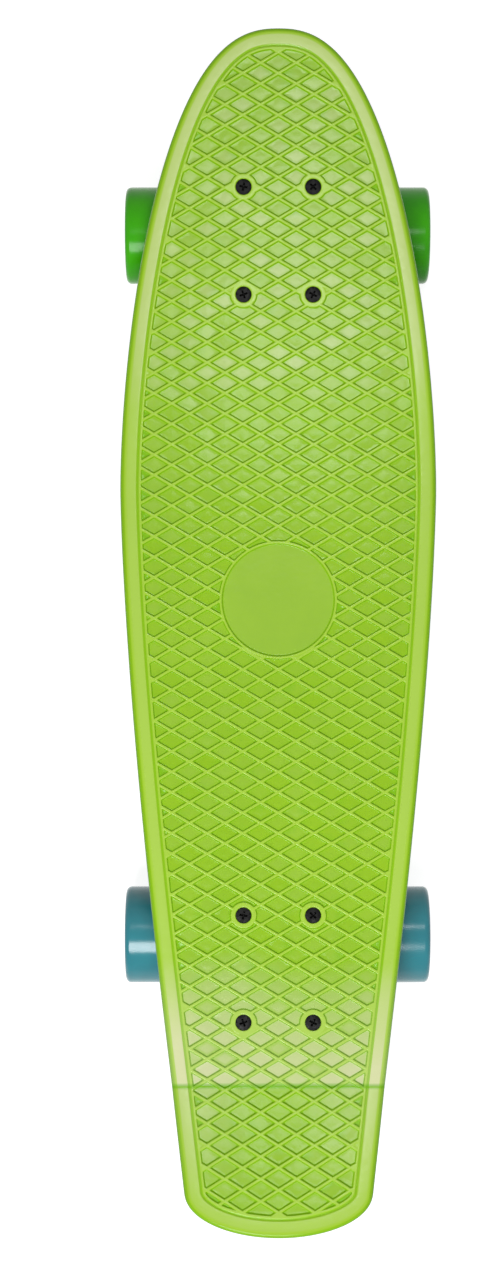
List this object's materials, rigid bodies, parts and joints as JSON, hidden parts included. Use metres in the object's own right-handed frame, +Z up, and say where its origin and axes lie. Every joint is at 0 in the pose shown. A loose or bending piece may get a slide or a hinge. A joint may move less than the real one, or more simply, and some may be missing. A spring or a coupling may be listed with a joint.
{
  "type": "skateboard",
  "caption": "Moulded plastic cruiser skateboard with waffle-top deck, kicktail, sprung kingpin trucks and soft urethane wheels on ball bearings.",
  "frame": {"origin": "on the ground, under the middle of the deck's length and width", "axes": "+Z up, +Y along the board towards the nose, +X to the right when facing the nose"},
  "size_m": [0.188, 0.709, 0.126],
  "materials": {
    "lime_plastic": "moulded plastic, satin",
    "black_steel": "black oxide",
    "zinc_steel": "zinc plated",
    "cast_aluminium": "cast and tumbled",
    "cup_plastic": "natural acetal",
    "bushing_urethane": "cast urethane",
    "green_urethane": "cast urethane, glossy",
    "teal_urethane": "cast urethane, glossy",
    "bearing_steel": "ground and polished",
    "shield_black": "black",
    "cage_nylon": "natural nylon"
  },
  "bodies": {
    "board": {"deck": "lime_plastic", "front_mounting_bolts": "black_steel", "front_lock_nuts": "zinc_steel", "rear_mounting_bolts": "black_steel", "rear_lock_nuts": "zinc_steel", "front_baseplate": "cast_aluminium", "front_pivot_cup": "cup_plastic", "front_kingpin": "zinc_steel", "front_board_washer": "zinc_steel", "front_board_bushing": "bushing_urethane", "front_road_bushing": "bushing_urethane", "front_road_washer": "zinc_steel", "front_kingpin_nut": "zinc_steel", "rear_baseplate": "cast_aluminium", "rear_pivot_cup": "cup_plastic", "rear_kingpin": "zinc_steel", "rear_board_washer": "zinc_steel", "rear_board_bushing": "bushing_urethane", "rear_road_bushing": "bushing_urethane", "rear_road_washer": "zinc_steel", "rear_kingpin_nut": "zinc_steel"},
    "front_hanger_set": {"front_hanger": "cast_aluminium", "front_axle": "zinc_steel", "front_speed_rings": "zinc_steel", "front_axle_nuts": "zinc_steel", "front_left_inner_races": "bearing_steel", "front_left_spacer": "zinc_steel", "front_right_inner_races": "bearing_steel", "front_right_spacer": "zinc_steel"},
    "front_left_wheel_set": {"front_left_wheel": "green_urethane", "front_left_outer_races": "bearing_steel", "front_left_shields": "shield_black"},
    "front_left_ball_set": {"front_left_balls": "bearing_steel", "front_left_cages": "cage_nylon"},
    "front_right_wheel_set": {"front_right_wheel": "green_urethane", "front_right_outer_races": "bearing_steel", "front_right_shields": "shield_black"},
    "front_right_ball_set": {"front_right_balls": "bearing_steel", "front_right_cages": "cage_nylon"},
    "rear_hanger_set": {"rear_hanger": "cast_aluminium", "rear_axle": "zinc_steel", "rear_speed_rings": "zinc_steel", "rear_axle_nuts": "zinc_steel", "rear_left_inner_races": "bearing_steel", "rear_left_spacer": "zinc_steel", "rear_right_inner_races": "bearing_steel", "rear_right_spacer": "zinc_steel"},
    "rear_left_wheel_set": {"rear_left_wheel": "teal_urethane", "rear_left_outer_races": "bearing_steel", "rear_left_shields": "shield_black"},
    "rear_left_ball_set": {"rear_left_balls": "bearing_steel", "rear_left_cages": "cage_nylon"},
    "rear_right_wheel_set": {"rear_right_wheel": "teal_urethane", "rear_right_outer_races": "bearing_steel", "rear_right_shields": "shield_black"},
    "rear_right_ball_set": {"rear_right_balls": "bearing_steel", "rear_right_cages": "cage_nylon"}
  },
  "joints": [
    {"name": "front_steer", "type": "hinge", "parent": "board", "child": "front_hanger_set", "pos_m": [0, 0.215, 0.043], "axis": [0, 0.8192, 0.5736], "range_deg": [-15, 15], "stiffness_Nm_per_rad": 30, "deforming": ["front_board_bushing", "front_road_bushing"]},
    {"name": "front_left_spin", "type": "hinge", "parent": "front_hanger_set", "child": "front_left_wheel_set", "pos_m": [-0.0705, 0.2432, 0.0295], "axis": [1, 0, 0], "continuous": true},
    {"name": "front_left_ball_orbit", "type": "hinge", "parent": "front_hanger_set", "child": "front_left_ball_set", "pos_m": [-0.0705, 0.2432, 0.0295], "axis": [1, 0, 0], "continuous": true},
    {"name": "front_right_spin", "type": "hinge", "parent": "front_hanger_set", "child": "front_right_wheel_set", "pos_m": [0.0705, 0.2432, 0.0295], "axis": [1, 0, 0], "continuous": true},
    {"name": "front_right_ball_orbit", "type": "hinge", "parent": "front_hanger_set", "child": "front_right_ball_set", "pos_m": [0.0705, 0.2432, 0.0295], "axis": [1, 0, 0], "continuous": true},
    {"name": "rear_steer", "type": "hinge", "parent": "board", "child": "rear_hanger_set", "pos_m": [0, -0.217, 0.043], "axis": [0, 0.8192, 0.5736], "range_deg": [-15, 15], "stiffness_Nm_per_rad": 30, "deforming": ["rear_board_bushing", "rear_road_bushing"]},
    {"name": "rear_left_spin", "type": "hinge", "parent": "rear_hanger_set", "child": "rear_left_wheel_set", "pos_m": [-0.0705, -0.1888, 0.0295], "axis": [1, 0, 0], "continuous": true},
    {"name": "rear_left_ball_orbit", "type": "hinge", "parent": "rear_hanger_set", "child": "rear_left_ball_set", "pos_m": [-0.0705, -0.1888, 0.0295], "axis": [1, 0, 0], "continuous": true},
    {"name": "rear_right_spin", "type": "hinge", "parent": "rear_hanger_set", "child": "rear_right_wheel_set", "pos_m": [0.0705, -0.1888, 0.0295], "axis": [1, 0, 0], "continuous": true},
    {"name": "rear_right_ball_orbit", "type": "hinge", "parent": "rear_hanger_set", "child": "rear_right_ball_set", "pos_m": [0.0705, -0.1888, 0.0295], "axis": [1, 0, 0], "continuous": true}
  ],
  "couplings": [
    {"joint": "front_left_ball_orbit", "follows": "front_left_spin", "ratio": 0.6323},
    {"joint": "front_right_ball_orbit", "follows": "front_right_spin", "ratio": 0.6323},
    {"joint": "rear_left_ball_orbit", "follows": "rear_left_spin", "ratio": 0.6323},
    {"joint": "rear_right_ball_orbit", "follows": "rear_right_spin", "ratio": 0.6323}
  ]
}
